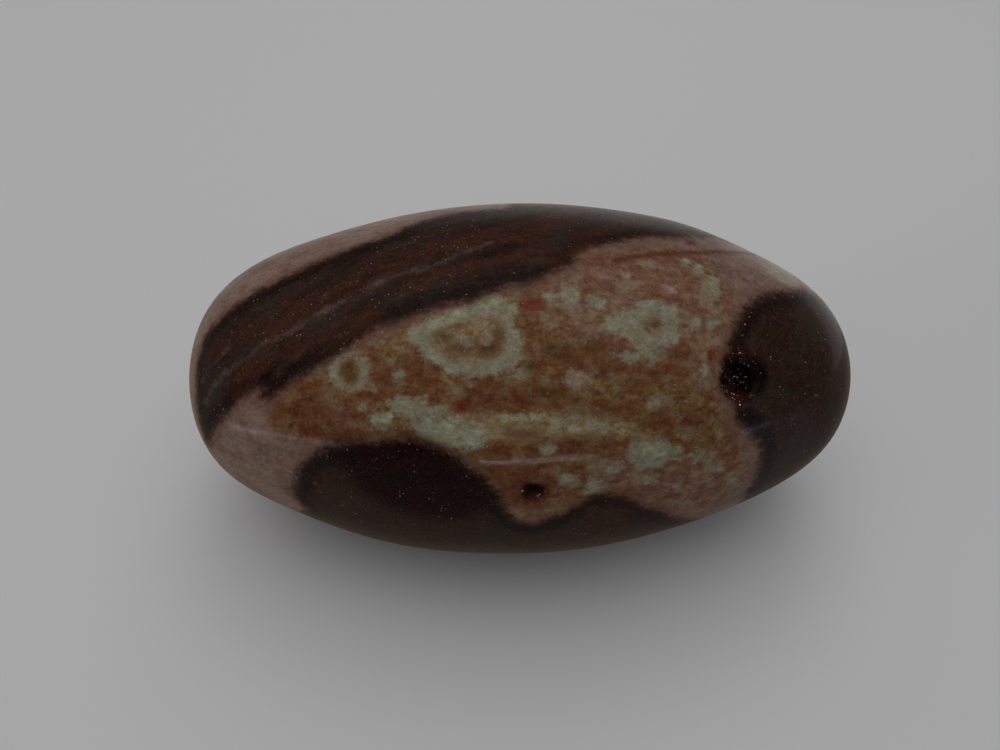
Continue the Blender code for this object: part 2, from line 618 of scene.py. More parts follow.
MARKINGS = {
    Layer.DARK: DARK_PATCHES,
    # The cap and the lower markings aren't bedded, as the band is.
    Layer.CHERT: DARK_PATCHES[1:],
    Layer.HEART: (
        Patch(seen=(
            (-28.3, -2.2), (-25.7, -0.2), (-22.5, 2), (-19.1, 3.9), (-14, 6.4), (-9.3, 8.2),
            (-5.2, 8.8), (-2.2, 10.1), (1.3, 10.8), (4.8, 11.9), (8.3, 13.7), (11.8, 14.9),
            (16.5, 15.4), (21.2, 14.2), (23.8, 12.1), (25, 9.3), (24.5, 5.8), (23.8, 3.2),
            (23.6, -1.9), (25, -4.8), (26.2, -8.3), (25.9, -11.8), (23.8, -14.2), (20.6, -15.1),
            (17.7, -15.2), (14.8, -14.8), (10.7, -13.6), (7.7, -14.6), (3.5, -16.4), (0.8, -16.6),
            (-1.5, -14.8), (-4.2, -11.6), (-8.6, -8.2), (-14, -7.2), (-23.3, -7.6), (-27.1, -6.9),
            (-29.2, -4.8),
        )),
        Patch(hidden=(
            (-31, 156), (-24, 149), (-16, 152), (-12, 166), (-16, 180), (-24, 185), (-31, 180),
            (-34, 168),
        )),
        Patch(hidden=(
            (19, 172), (25, 162), (30, 172), (31, 192), (27, 214), (19, 228), (8, 232), (2, 224),
            (10, 212), (15, 194),
        )),
    ),
    Layer.ROSY: (
        Patch(seen=(
            (4, 10.6), (8.3, 13.2), (11.8, 14.5), (16.5, 15), (21.2, 14), (23.8, 11.8), (24.6, 9.3),
            (24.2, 5.8), (23.4, 2), (22, 0.5), (20, 3.2), (17.5, 2.6), (13, 2), (9.6, 4.4), (5, 6.8),
            (1.4, 7.6),
        )),
        Patch(seen=(
            (9.5, -10), (13, -9.2), (18, -9.6), (22.5, -9), (25, -9.4), (25.4, -12), (23.4, -14),
            (18, -14.9), (14.2, -14), (10.6, -12.9),
        )),
        Patch(hidden=((20, 172), (25, 166), (29, 174), (29, 188), (24, 190), (20, 184))),
        Blob(-22.4, -3.6, 2.4, 1.5), Blob(1.6, -15.4, 2.6, 1.0),
    ),
    Layer.OCHRE: (
        Patch(seen=(
            (-8.2, -4), (-2, -3.9), (4.8, -4), (10.2, -4.3), (13.3, -5.1), (11.8, -6.4), (7.2, -7),
            (2, -7.2), (-2.2, -7.3), (-4.8, -6.8), (-6.9, -6), (-8.3, -4.9),
        )),
        Patch(hidden=((-29, 172), (-22, 167), (-15, 168), (-16, 173), (-23, 176), (-29, 178))),
    ),
    Layer.RUST: (
        Patch(seen=(
            (-6.2, -0.6), (-4.6, 0.1), (-2, -0.3), (0.1, -0.8), (3.1, -1), (4.8, -2), (2.5, -3.2),
            (-0.8, -3.5), (-3.6, -3.7), (-6, -3.4), (-6.7, -2),
        )),
        Patch(seen=(
            (-4.5, -8), (-2.2, -7.5), (0.7, -7.5), (3.1, -7.8), (2.2, -8.9), (-1.1, -9.4),
            (-3.6, -9.3),
        )),
        # Smooth red-brown rock at the heart's left end, and round the small pit.
        Patch(seen=(
            (-28.6, -4.6), (-26.6, -2), (-23.6, -1.3), (-22.2, -3), (-21, -5), (-18.2, -6.4),
            (-21, -7.4), (-25, -7.2), (-28, -6.4),
        )),
        Patch(seen=(
            (-4.2, -10.6), (-1, -9.9), (3, -10.4), (5.6, -12.4), (5.2, -14), (2.8, -14.8), (0.4, -15),
            (-1.8, -13.6),
        )),
        Patch(hidden=((14, 206), (20, 200), (27, 203), (24, 211), (16, 216), (9, 216))),
        Blob(7.7, -7.6, 3.28, 0.7), Blob(0.5, -6.5, 1.9, 0.55), Blob(14.6, 0.2, 2.2, 1.0, 20),
        Blob(19.0, 3.0, 1.0, 0.8), Blob(18.4, -5.0, 3.4, 1.0), Blob(8.6, 1.6, 3.6, 1.0, -8),
        Blob(9.8, -3.3, 4.2, 0.8, -3), Blob(-19.2, -4.3, 1.8, 1.1), Blob(-11.8, 1.6, 1.6, 0.9, 15),
        Blob(-15.8, -0.2, 1.5, 0.8, -35), Blob(-14.1, -5.5, 0.7, 0.94), Blob(12.1, 3.5, 0.59, 0.59),
        Blob(-11.1, 0.0, 0.94, 0.59),
    ),
    Layer.MINT: (
        # The large ring, then the ring right of the middle.
        Patch(seen=(
            (-12.7, 5.6), (-11.1, 6.8), (-8.4, 7.9), (-5.7, 8.6), (-4.8, 9.4), (-2.8, 9.6),
            (-1.2, 9.4), (-0.4, 8.2), (-0.7, 6.8), (0, 5.5), (0.5, 4), (0.2, 2.2), (-1.6, 0.8),
            (-3.4, 0.4), (-5.7, 0.3), (-7.9, 0.6), (-9.3, 1.4), (-12, 3.4), (-12.7, 4.6),
        )),
        Patch(seen=(
            (10, 6.7), (11.1, 8), (13, 8.2), (13.7, 9), (15.4, 9.3), (17.3, 9), (18.5, 8), (18.9, 6.2),
            (18.5, 4.5), (17.2, 3.5), (15.4, 3), (13.6, 3.5), (12.6, 4.7), (10.2, 5.6),
        )),
        Patch(seen=(
            (-15.6, -2.9), (-14.2, -2.1), (-12.2, -2.3), (-10.4, -2.9), (-9, -4), (-8.6, -5),
            (-10.4, -5.3), (-14.4, -4.1),
        )),
        Patch(seen=(
            (-12.3, -4.8), (-8.4, -4.5), (-6, -4.8), (-4.1, -6), (-3.9, -7.2), (-5, -8.1), (-7, -8.2),
            (-9.4, -7.5), (-11.4, -6.8), (-12.4, -6),
        )),
        Patch(seen=(
            (12.9, -8), (14.2, -7.4), (16, -7.1), (17.5, -7.3), (18.8, -7.8), (19.1, -8.9),
            (17.9, -9.4), (17, -10.2), (15.4, -10.7), (13.8, -10.5), (12.9, -9.5),
        )),
        Blob(-19.9, 0.85, 2.2, 2.2), Blob(6.1, 9.8, 1.06, 1.17), Blob(9.0, 9.2, 1.06, 1.06),
        Blob(3.5, 9.6, 0.7, 0.59), Blob(22.6, 10.8, 0.9, 1.5, 20), Blob(20.5, 6.5, 0.7, 0.7),
        Blob(22.6, 6.7, 0.82, 0.7), Blob(19.6, 13.7, 0.7, 0.35, -20), Blob(21.0, 13.0, 0.7, 0.59),
        Blob(13.0, 2.6, 1.06, 0.82), Blob(15.6, 2.6, 0.7, 0.7), Blob(21.8, 0.7, 0.47, 1.17),
        Blob(16.0, -2.9, 0.7, 0.59), Blob(-16.3, -4.7, 1.29, 0.94, 20), Blob(20.9, -8.9, 0.7, 0.59),
        Blob(11.1, -10.5, 0.82, 0.7), Blob(5.6, -11.8, 1.06, 0.59, -15),
        Blob(8.8, -12.5, 1.17, 0.82, 20), Blob(15.5, -11.8, 0.82, 0.59), Blob(25.2, -12.1, 0.7, 0.47),
        Blob(3.4, -8.2, 0.94, 0.59), Blob(0.6, 0.8, 0.82, 0.94), Blob(-14.2, 0.6, 0.7, 0.7),
        Blob(30.8, 12.1, 2.3, 0.7, -30), Blob(5.6, -4.6, 1.3, 0.5, 10), Blob(9.6, -5.4, 1.6, 0.6, -10),
        Blob(23.2, -10.6, 0.8, 0.5), Blob(18.6, -12.6, 0.9, 0.5, 15), Spot(-22, 160, 2.1),
        Spot(-28, 166, 1.2), Spot(-16.5, 162, 0.9), Spot(-26, 180, 0.8), Spot(22.5, 193, 2.4),
        Spot(27, 181, 1.1), Spot(17, 222, 1.5), Spot(10, 226, 1.0), Spot(25, 214, 0.8),
        Spot(-8, 232, 1.3), Spot(-3, 228, 0.7),
    ),
    Layer.PALE: (
        Patch(seen=(
            (-11.8, -5.7), (-9.6, -5.2), (-6.8, -5.4), (-4.6, -6.2), (-4.3, -7.2), (-5.6, -7.8),
            (-8, -7.7), (-10.4, -6.9),
        )),
        Blob(-16.2, -4.7, 1.1, 0.7, 20), Blob(-8.6, 6.8, 2.4, 0.7, 28), Blob(-3.2, 8.8, 1.3, 0.6, 10),
        Blob(15.9, -8.3, 1.9, 0.8), Blob(0.4, -4.6, 2.4, 0.4), Blob(5.4, -5.6, 1.8, 0.4),
    ),
    Layer.CORE: (
        Patch(seen=(
            (-10.6, 5.1), (-9, 6.2), (-4.8, 7.2), (-2.9, 7.3), (-2, 6.6), (-1.6, 5.2), (-1.6, 3.8),
            (-2.3, 2.7), (-3.9, 1.9), (-6.2, 1.8), (-8.1, 2.1), (-10.4, 4.1),
        )),
        Blob(-19.9, 1.05, 1.45, 1.9), Blob(15.7, 6.3, 1.3, 1.2), Spot(-22, 160, 1.0),
        Spot(22.5, 193, 1.3),
    ),
    Layer.UMBER: (
        Blob(-19.9, 1.0, 0.95, 1.4), Blob(15.9, 6.3, 0.5, 0.45), Blob(-3.6, 3.6, 1.5, 0.85, 20),
        Blob(-2.5, 5.2, 0.7, 1.3), Blob(-7.0, 3.6, 1.3, 0.6, -15), Blob(-8.6, 5.0, 0.9, 0.5),
        Blob(4.4, 3.2, 2.0, 1.0, -10), Blob(1.6, 1.4, 1.2, 0.8, 20), Blob(8.8, 3.8, 1.3, 0.6),
        Blob(3.9, -1.4, 1.9, 0.6),
    ),
    Layer.CREAM: (
        Blob(-5.9, 4.5, 0.59, 0.59), Blob(-3.8, 4.6, 0.47, 0.47), Blob(12.6, 12.1, 0.47, 0.59),
        Blob(17.6, 10.7, 0.82, 0.35, -20), Blob(6.8, 0.1, 1.41, 1.06), Blob(-5.5, -0.5, 0.47, 0.35),
        Blob(-18.3, -3.3, 0.47, 0.47), Spot(22.2, 193, 0.4),
    ),
    Layer.CRIMSON: (
        Blob(1.5, 8.7, 1.6, 0.75), Blob(22.6, 2.9, 0.5, 0.8), Blob(-24.8, -6.2, 0.4, 0.4),
        Blob(-26.4, -3.8, 0.4, 0.4), Blob(-32.3, -5.2, 0.3, 0.25), Blob(20.1, 15.9, 0.45, 0.3),
        Blob(-6.8, -3.3, 1.0, 0.7, 20), Spot(-19, 176, 0.7), Spot(26, 198, 0.6),
    ),
    Layer.RED_LINE: (
        Streak(0.7, seen=((11.4, 13.9), (15.7, 14.6), (21.8, 14.8), (27.9, 14.3))),
    ),
    Layer.SOOT: (
        # Painted shade: the upper half of the lower left patch is painted darker than the rest.
        Patch(seen=(
            (-22.5, -7.8), (-17, -7.3), (-11.5, -6.9), (-8, -8.6), (-4.6, -11.4), (-3.4, -14.6),
            (-7.5, -16.4), (-14, -15.4), (-19.5, -12),
        )),
    ),
    Layer.EMBER_STRIPE: (
        Streak(
            2.2,
            seen=(
                (-29.5, 5.4), (-25, 7.9), (-20, 10.9), (-15.5, 13.1), (-10, 15.1), (-4, 16.6),
                (2, 17.2),
            ),
            hidden=((9, 142), (8, 162), (4, 184), (0, 200)),
        ),
        Streak(
            1.5,
            seen=((-12.4, 11), (-8, 12.8), (-3.4, 13.9), (1.6, 14.6), (6, 15)),
            hidden=((15, 138), (14, 156), (11, 176)),
        ),
        Streak(1.0, seen=((-36.3, 2.6), (-33.2, 5), (-29.4, 7.6), (-25.7, 9.6))),
        Streak(1.6, seen=((-33.9, -0.8), (-30.2, 1.8), (-26.2, 3.7), (-22.2, 5.4), (-17.6, 7.6))),
        Blob(10.6, -15.6, 2.8, 1.0),
    ),
    Layer.ROSE_STREAK: (
        Streak(0.4, seen=((-17.6, 10.9), (-14.6, 12.1), (-11, 13), (-8, 14.3), (-5, 15.4), (-3.2, 16))),
        Streak(0.4, seen=(
            (-20.4, 9.2), (-23.7, 7.6), (-27.1, 5.5), (-29.9, 4.2), (-31.9, 2.5), (-33.4, 1.7),
            (-35.8, -0.9),
        )),
        Streak(0.3, seen=((-33.7, 4), (-35.6, 2), (-37.2, -0.3))),
        Streak(0.3, seen=((-35.5, -0.6), (-36.7, -2.7))),
        Streak(0.4, hidden=((5, 140), (3, 160), (-2, 182), (-6, 200))),
    ),
    # Black in each pit: a dark stain, deepened by painted shade in the recess.
    Layer.HOLLOW: (Blob(27.5, 0.35, 1.7, 2.2), Blob(1.6, -13.4, 0.5, 0.4)),
}

# The thin beds run along the far side of the broad band: seen points, then hidden ones.
BEDDING_LINE = (
    (
        (-38.2, -4), (-37.6, 5), (-34.5, 9.4), (-30, 12.6), (-25, 15.2), (-19, 17.6), (-12, 19.4),
        (-5, 20.4),
    ),
    ((2, 145), (-6, 160), (-16, 180), (-21, 205), (-16, 235), (-4, 262)),
)


# The skin


def placed(data: bpy.types.ID) -> bpy.types.Object:
    """A new object in the scene that holds a mesh, light or camera and has its name.

    Args:
        data: the mesh, light or camera.

    Returns:
        The object.
    """
    made = bpy.data.objects.new(data.name, data)
    bpy.context.scene.collection.objects.link(made)
    return made


@dataclass
class Skin:
    """The stone's fine skin: a ball of triangles, stretched to the stone, with its markings."""

    form: OvalForm
    sight: Sight
    subdivisions: int = 7
    detail_turn: float = 62.0
    detail_reach: float = 29.0
    pit_margins: tuple[float, ...] = (0.9, 0.3)
    tear_along: float = -24.0
    tear_turn: float = 197.0

    def __post_init__(self) -> None:
        """Makes the ball's directions and the places that distances are measured from."""
        self.chart = Chart(self.form.direction_to(self.tear_along, self.tear_turn))
        self.ball = self.fine_ball()
        self.directions = self.directions_in(self.ball)
        self.places = self.form.plain(self.directions)

    def directions_in(self, ball: bmesh.types.BMesh) -> np.ndarray:
        """The ball's points as unit vectors."""
        return unit(np.array([vertex.co for vertex in ball.verts]))

    def refine(self, ball: bmesh.types.BMesh, middle: np.ndarray, reach: float) -> None:
        """Halves the edges whose two ends land within reach of a place on the skin.

        Args:
            ball: the ball, which is changed.
            middle: the place on the swollen skin.
            reach: how far from it the edges are halved.
        """
        places = self.form.swollen(self.directions_in(ball))
        close = np.linalg.norm(places - middle, axis=1) < reach
        edges = [e for e in ball.edges if close[e.verts[0].index] and close[e.verts[1].index]]
        bmesh.ops.subdivide_edges(ball, edges=edges, cuts=1, use_grid_fill=True)
        bmesh.ops.triangulate(ball, faces=[f for f in ball.faces if len(f.verts) > 3])
        ball.verts.index_update()

    def fine_ball(self) -> bmesh.types.BMesh:
        """A ball of even triangles with its poles on X, finer on the seen side and in the pits.

        Returns:
            The ball, of radius one.
        """
        ball = bmesh.new()
        bmesh.ops.create_icosphere(ball, subdivisions=self.subdivisions, radius=1.0)
        turned = Matrix.Rotation(math.pi / 2, 3, "Y")
        bmesh.ops.rotate(ball, verts=ball.verts, cent=Vector(), matrix=turned)
        ball.verts.index_update()
        seen_middle = self.form.plain(self.form.direction_to(0, self.detail_turn))
        self.refine(ball, seen_middle, self.detail_reach)
        for pit in PITS:
            for margin in self.pit_margins:
                self.refine(ball, self.form.pit_middle(pit), pit.lip_radius + margin)
        return ball

    def directions_of(self, seen: Spots, hidden: Spots) -> np.ndarray:
        """Directions of seen spots, then of hidden ones.

        Args:
            seen: places right and up on the facing plane.
            hidden: places along the length, and their turns.

        Returns:
            Rows of unit vectors of the ball.
        """
        rows = [self.form.direction_to(along, turn)[None] for along, turn in hidden]
        if seen:
            rows.insert(0, self.sight.directions_of(np.array(seen, float), self.form))
        return np.vstack(rows)

    def near(self, path: np.ndarray) -> tuple[np.ndarray, np.ndarray]:
        """Which spots lie within the deepest distance of a path's ball, and their places.

        Args:
            path: rows of the path's corners.

        Returns:
            True for each near spot of the skin, and the near spots' places.
        """
        middle = path.mean(axis=0)
        reach = np.linalg.norm(path - middle, axis=1).max() + DEEPEST
        near = np.linalg.norm(self.places - middle, axis=1) < reach
        return near, self.places[near]

    def spread(self, near: np.ndarray, depth: np.ndarray) -> np.ndarray:
        """Depths of the near spots, with all the others far outside.

        Args:
            near: which spots of the skin are near.
            depth: one depth for each near spot.

        Returns:
            One depth for each spot of the skin.
        """
        full = np.full(len(self.places), -DEEPEST)
        full[near] = np.clip(depth, -DEEPEST, DEEPEST)
        return full

    def depths(self) -> dict[Layer, np.ndarray]:
        """For each layer, how deep each spot lies inside its markings.

        Returns:
            A row of depths for each layer, in the order of the ball's points.
        """
        depths = {layer: np.full(len(self.places), -DEEPEST) for layer in Layer}
        for layer, markings in MARKINGS.items():
            for marking in markings:
                depths[layer] = np.maximum(depths[layer], marking.depth(self))
        swollen = self.form.swollen(self.directions)
        for pit in PITS:
            depths[Layer.PIT] = np.maximum(depths[Layer.PIT], self.form.pit_depth(swollen, pit))
        return depths

    def bedding(self) -> np.ndarray:
        """How far each spot lies from the line that the rock's thin beds run along."""
        line = unit(smooth_path(self.directions_of(*BEDDING_LINE), closed=False))
        return distance_to_path(self.places, self.form.plain(line))

    def laid_down(self) -> tuple[np.ndarray, np.ndarray]:
        """The skin on its worn flat, in the frame's place.

        Returns:
            The points, in millimetres, and the shift that brought the stone's middle there.
        """
        points = self.form.finished(self.directions)
        level = points[:, 2].min() + self.form.flat_depth
        points[:, 2] = np.maximum(points[:, 2], level)
        low, high = (np.array(corner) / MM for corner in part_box("stone"))
        middle = (points.min(axis=0) + points.max(axis=0)) / 2
        shift = (low + high) / 2 - middle
        shift[2] = low[2] - level
        return np.clip(points + shift, low, high), shift

    def build(self) -> tuple[bpy.types.Object, np.ndarray]:
        """The skin as an object, and the shift from the stone's middle to the frame.

        Returns:
            The object, and the shift in millimetres.
        """
        points, shift = self.laid_down()
        mesh = bpy.data.meshes.new("river_stone")
        self.ball.to_mesh(mesh)
        self.ball.free()
        mesh.vertices.foreach_set("co", (points * MM).astype(np.float32).ravel())
        values = {layer.value: depth for layer, depth in self.depths().items()}
        values[BEDDING] = self.bedding()
        for name, value in values.items():
            attribute = mesh.attributes.new(name, "FLOAT", "POINT")
            attribute.data.foreach_set("value", value.astype(np.float32))
        mesh.update()
        mesh.shade_smooth()
        mesh.materials.append(RubbedJasper().material())
        return placed(mesh), shift


# Finishes


def linear(hex_colour: str) -> tuple[float, float, float, float]:
    """An sRGB hex colour such as "8B7367" as the linear colour that a shader takes."""
    values = [int(hex_colour[start : start + 2], 16) / 255 for start in (0, 2, 4)]
    return (*(v / 12.92 if v <= 0.04045 else ((v + 0.055) / 1.055) ** 2.4 for v in values), 1.0)


def add_node(
    tree: bpy.types.NodeTree, kind: str, links: dict | None = None, **settings: object
) -> bpy.types.Node:
    """Adds one node.

    Args:
        tree: the node tree that it joins.
        kind: the node's type name after "ShaderNode".
        links: for each input, by name or place, what feeds it: an output, a node, whose first
            output in use is meant, or a value.
        settings: the node's own properties.

    Returns:
        The node.
    """
    made = tree.nodes.new("ShaderNode" + kind)
    for name, value in settings.items():
        setattr(made, name, value)
    for key, value in (links or {}).items():
        if isinstance(value, bpy.types.Node):
            value = next(output for output in value.outputs if output.enabled)
        if isinstance(value, bpy.types.NodeSocket):
            tree.links.new(value, made.inputs[key])
        else:
            made.inputs[key].default_value = value
    return made


def new_finish(name: str) -> tuple[bpy.types.Material, AddNode]:
    """A material without nodes, and the call that adds one to it.

    Args:
        name: the material's name.

    Returns:
        The empty material, and add_node for its own tree.
    """
    made = bpy.data.materials.new(name)
    made.use_nodes = True
    made.node_tree.nodes.clear()
    return made, partial(add_node, made.node_tree)


@dataclass(frozen=True)
class Clotting:
    """The size of a texture's clots, how far they are drawn out, and how rough they are."""

    size: float
    stretch: float
    detail: float
    roughness: float
    start: float = 0.0


class Texture(Enum):
    """How the rock's minerals are clotted, from gravelly clots to thin beds along the band."""

    GRAVEL = Clotting(size=3.2, stretch=1.7, detail=4.0, roughness=0.62)
    PEBBLE = Clotting(size=1.6, stretch=1.3, detail=3.0, roughness=0.6, start=57.0)
    CLOT = Clotting(size=0.8, stretch=1.4, detail=3.0, roughness=0.65)
    CRUMB = Clotting(size=0.5, stretch=1.2, detail=2.0, roughness=0.6, start=23.0)
    BEDDED = Clotting(size=1.5, stretch=7.0, detail=2.5, roughness=0.55)


# About what a texture gives in its hollows and on its peaks.
HOLLOWS = 0.3
PEAKS = 0.7
TEXTURE_RANGE = {"From Min": HOLLOWS, "From Max": PEAKS}

# The node that each texture has in a material.
Clots = dict[Texture, Feed]


@dataclass(frozen=True)
class Fleck:
    """Clots of one colour where a texture is above a threshold."""

    colour: str
    texture: Texture
    above: float
    soft: float = 0.06
    strength: float = 0.5


@dataclass(frozen=True)
class Mottle:
    """A mix of colours, from the first in a texture's hollows to the last on its peaks."""

    colours: tuple[str, ...]
    texture: Texture = Texture.CLOT
    reach: float = 0.16
    flecks: tuple[Fleck, ...] = ()


@dataclass(frozen=True)
class Edge:
    """How a marking meets the rock round it, in millimetres.

    The edge frays by a texture, fades over a softness each side, and may stand outside the
    outline by an outset. A pigment that only rims its marking fades out again past its reach
    inwards.
    """

    fray: float
    soft: float
    texture: Texture = Texture.CLOT
    outset: float = 0.0
    strength: float = 1.0
    rim: float = 0.0


@dataclass(frozen=True)
class Pigment:
    """One layer's colours and edge."""

    layer: Layer
    mottle: Mottle
    edge: Edge


# Mauve-tan sandstone round everything: soft and even, slightly pink, with faint grey clouds.
GROUND = Mottle(
    ("70584F", "856A5F", "907769"),
    Texture.GRAVEL,
    flecks=(
        Fleck("9A8A7C", Texture.CLOT, above=0.56, strength=0.35),
        Fleck("76503F", Texture.PEBBLE, above=0.6, strength=0.4),
    ),
)

PIGMENTS = (
    # The heart: red-brown and olive-brown jasper in small drawn-out clots.
    Pigment(
        Layer.HEART,
        Mottle(
            ("603B26", "71492D", "7C5636", "836C46", "8C7B5B"),
            reach=0.2,
            flecks=(
                Fleck("683424", Texture.GRAVEL, above=0.57, soft=0.1, strength=0.4),
                Fleck("928870", Texture.PEBBLE, above=0.57, soft=0.1),
            ),
        ),
        Edge(fray=4.0, soft=1.5, texture=Texture.GRAVEL),
    ),
    # The paler, rosier rock above and right of the second ring.
    Pigment(
        Layer.ROSY,
        Mottle(
            ("724E3E", "876351", "957661"),
            reach=0.2,
            flecks=(
                Fleck("9C8C74", Texture.PEBBLE, above=0.58, soft=0.08),
                Fleck("754435", Texture.GRAVEL, above=0.57, soft=0.08),
            ),
        ),
        Edge(fray=4.0, soft=1.6, texture=Texture.GRAVEL, strength=0.8),
    ),
    Pigment(
        Layer.OCHRE,
        Mottle(
            ("88704E", "998562", "AA9F7C"),
            reach=0.2,
            flecks=(Fleck("83593C", Texture.PEBBLE, above=0.57, soft=0.08, strength=0.6),),
        ),
        Edge(fray=2.0, soft=0.8, strength=0.92),
    ),
    Pigment(
        Layer.RUST,
        Mottle(
            ("5A301E", "6B3E28", "795037"),
            reach=0.2,
            flecks=(Fleck("866A48", Texture.PEBBLE, above=0.6, soft=0.08),),
        ),
        Edge(fray=2.6, soft=1.0, strength=0.85),
    ),
    Pigment(
        Layer.CRIMSON,
        Mottle(("66241A", "783424"), Texture.CRUMB),
        Edge(fray=1.0, soft=0.4, strength=0.85),
    ),
    # A crimson stain that runs just outside every dark marking.
    Pigment(
        Layer.DARK,
        Mottle(("57231A", "6A3A2C")),
        Edge(fray=2.8, soft=1.3, outset=0.6, strength=0.7),
    ),
    # Mint: grey-green quartz clots that fade into the rock.
    Pigment(
        Layer.MINT,
        Mottle(
            ("89826A", "938F79", "9D9A86"),
            flecks=(Fleck("86704F", Texture.PEBBLE, above=0.6, strength=0.35),),
        ),
        Edge(fray=1.7, soft=0.5, strength=0.9),
    ),
    Pigment(
        Layer.PALE,
        Mottle(("949072", "A4A284", "AFAD95")),
        Edge(fray=2.0, soft=0.5, strength=0.75),
    ),
    Pigment(
        Layer.CORE,
        Mottle(
            ("745538", "876A49", "978465"),
            flecks=(Fleck("99917A", Texture.PEBBLE, above=0.56, strength=0.6),),
        ),
        Edge(fray=1.2, soft=0.4, strength=0.9),
    ),
    # Umber: the dark olive-brown eyes of the rings, and the heart's darkest clots.
    Pigment(
        Layer.UMBER,
        Mottle(("45280F", "5E3D1E", "6C4E2C"), reach=0.2),
        Edge(fray=1.6, soft=0.6, strength=0.85),
    ),
    Pigment(
        Layer.CREAM,
        Mottle(("A8988A", "B9AA9C"), Texture.CRUMB),
        Edge(fray=1.2, soft=0.4, strength=0.5),
    ),
    Pigment(
        Layer.RED_LINE,
        Mottle(("50241A", "6A3328")),
        Edge(fray=0.6, soft=0.35, strength=0.75),
    ),
    # The dark markings: near-black maroon chert in thin beds.
    Pigment(
        Layer.DARK,
        Mottle(
            ("281B17", "31221C", "392A23", "3E332D"),
            Texture.BEDDED,
            reach=0.2,
            flecks=(
                Fleck("47281D", Texture.CLOT, above=0.54, soft=0.1, strength=0.45),
                Fleck("35342C", Texture.GRAVEL, above=0.54, soft=0.1, strength=0.6),
            ),
        ),
        Edge(fray=2.0, soft=0.95),
    ),
    # The same chert without beds: clouded with brown and grey-green.
    Pigment(
        Layer.CHERT,
        Mottle(
            ("2B1A12", "37241B", "402E24"),
            reach=0.2,
            flecks=(Fleck("35322A", Texture.GRAVEL, above=0.52, soft=0.1, strength=0.4),),
        ),
        Edge(fray=2.0, soft=0.95),
    ),
    # The chert is blackest just inside its edge.
    Pigment(
        Layer.DARK,
        Mottle(("140A08", "1E110D")),
        Edge(fray=2.2, soft=0.7, strength=0.7, rim=1.6),
    ),
    # Painted shade: darkens the upper half of the lower left patch.
    Pigment(
        Layer.SOOT,
        Mottle(("160402", "260B05"), reach=0.2),
        Edge(fray=3.0, soft=1.6, strength=0.92),
    ),
    Pigment(
        Layer.EMBER_STRIPE,
        Mottle(("3A2018", "4A291D", "533325"), reach=0.2),
        Edge(fray=3.0, soft=1.1, texture=Texture.BEDDED, strength=0.7),
    ),
    Pigment(
        Layer.ROSE_STREAK,
        Mottle(("54403A", "765F58")),
        Edge(fray=1.6, soft=0.4, texture=Texture.PEBBLE, strength=0.55),
    ),
    # A red-brown stain round each pit's lip, and black inside it: a dark stain, deepened by
    # painted shade in each recess.
    Pigment(
        Layer.PIT,
        Mottle(("2C0D08", "4A1A11")),
        Edge(fray=1.6, soft=0.6, outset=-0.1, strength=0.88),
    ),
    Pigment(
        Layer.HOLLOW,
        Mottle(("050202", "140705"), Texture.CRUMB),
        Edge(fray=1.6, soft=0.7, strength=0.95),
    ),
)


